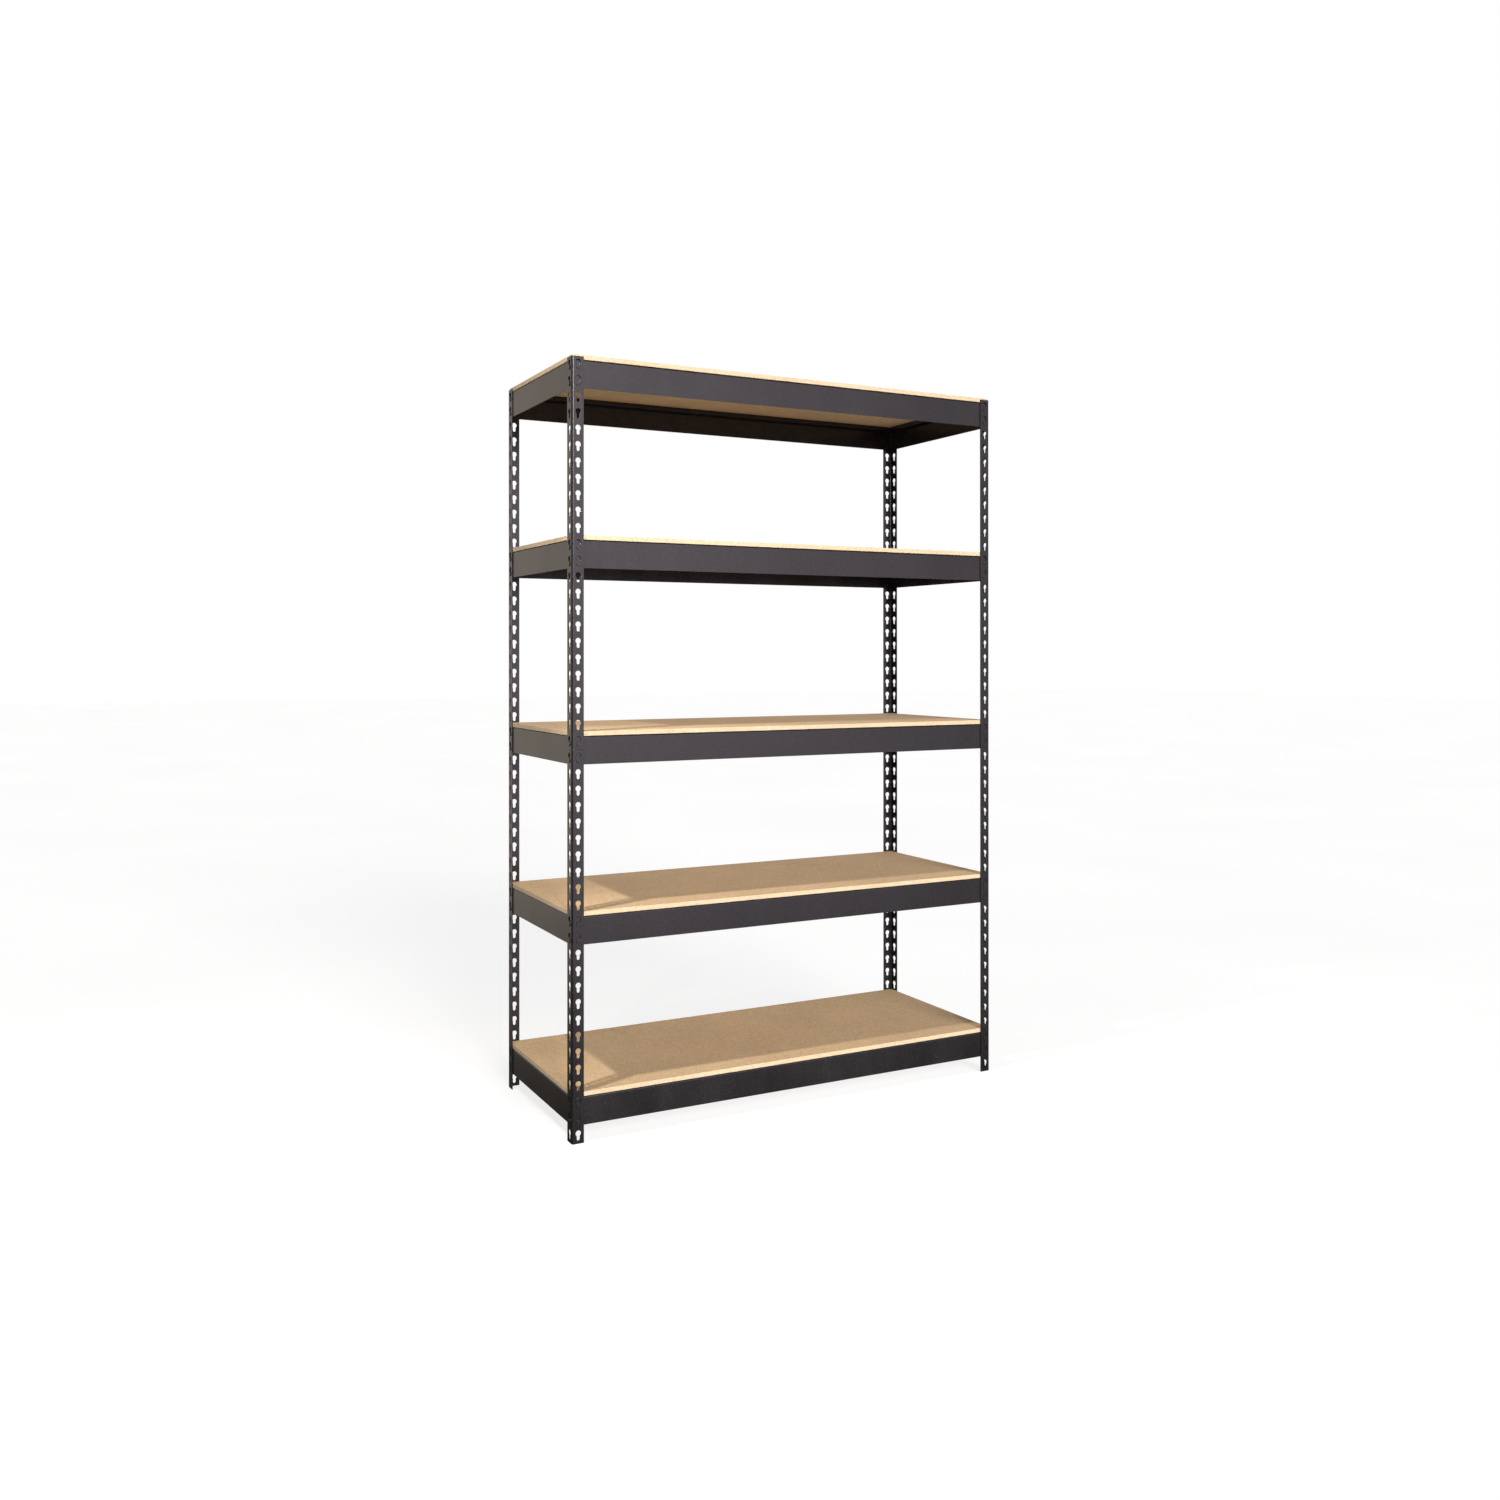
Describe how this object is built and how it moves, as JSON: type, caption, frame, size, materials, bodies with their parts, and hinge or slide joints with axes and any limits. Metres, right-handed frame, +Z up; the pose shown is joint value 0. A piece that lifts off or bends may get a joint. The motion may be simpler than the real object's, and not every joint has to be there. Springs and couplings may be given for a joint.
{
  "type": "boltless steel shelving unit",
  "caption": "Free-standing boltless shelving: slotted angle posts in halves, hook-in rivet beams and loose particle boards on their ledges.",
  "frame": {"origin": "on the floor, under the centre of the unit", "axes": "+X to the right along the front, +Y from the front to the rear, +Z up"},
  "size_m": [1.223, 0.461, 1.8327],
  "materials": {
    "black_steel": "semi-gloss black powder coat",
    "particle_board": "bare sanded particle board"
  },
  "bodies": {
    "frame": {"post_front_left_lower": "black_steel", "post_front_left_upper": "black_steel", "post_front_right_lower": "black_steel", "post_front_right_upper": "black_steel", "post_rear_left_lower": "black_steel", "post_rear_left_upper": "black_steel", "post_rear_right_lower": "black_steel", "post_rear_right_upper": "black_steel", "front_beam_1": "black_steel", "rear_beam_1": "black_steel", "left_beam_1": "black_steel", "right_beam_1": "black_steel", "front_beam_2": "black_steel", "rear_beam_2": "black_steel", "left_beam_2": "black_steel", "right_beam_2": "black_steel", "front_beam_3": "black_steel", "rear_beam_3": "black_steel", "left_beam_3": "black_steel", "right_beam_3": "black_steel", "front_beam_4": "black_steel", "rear_beam_4": "black_steel", "left_beam_4": "black_steel", "right_beam_4": "black_steel", "front_beam_5": "black_steel", "rear_beam_5": "black_steel", "left_beam_5": "black_steel", "right_beam_5": "black_steel"},
    "board_1": {"shelf_board_1": "particle_board"},
    "board_2": {"shelf_board_2": "particle_board"},
    "board_3": {"shelf_board_3": "particle_board"},
    "board_4": {"shelf_board_4": "particle_board"},
    "board_5": {"shelf_board_5": "particle_board"}
  },
  "joints": [
    {"name": "board_1_lift", "type": "slide", "parent": "frame", "child": "board_1", "axis": [0, 0, 1], "range_m": [0, 0.34]},
    {"name": "board_2_lift", "type": "slide", "parent": "frame", "child": "board_2", "axis": [0, 0, 1], "range_m": [0, 0.34]},
    {"name": "board_3_lift", "type": "slide", "parent": "frame", "child": "board_3", "axis": [0, 0, 1], "range_m": [0, 0.378]},
    {"name": "board_4_lift", "type": "slide", "parent": "frame", "child": "board_4", "axis": [0, 0, 1], "range_m": [0, 0.34]},
    {"name": "board_5_lift", "type": "slide", "parent": "frame", "child": "board_5", "axis": [0, 0, 1], "range_m": [0, 0.1]}
  ]
}
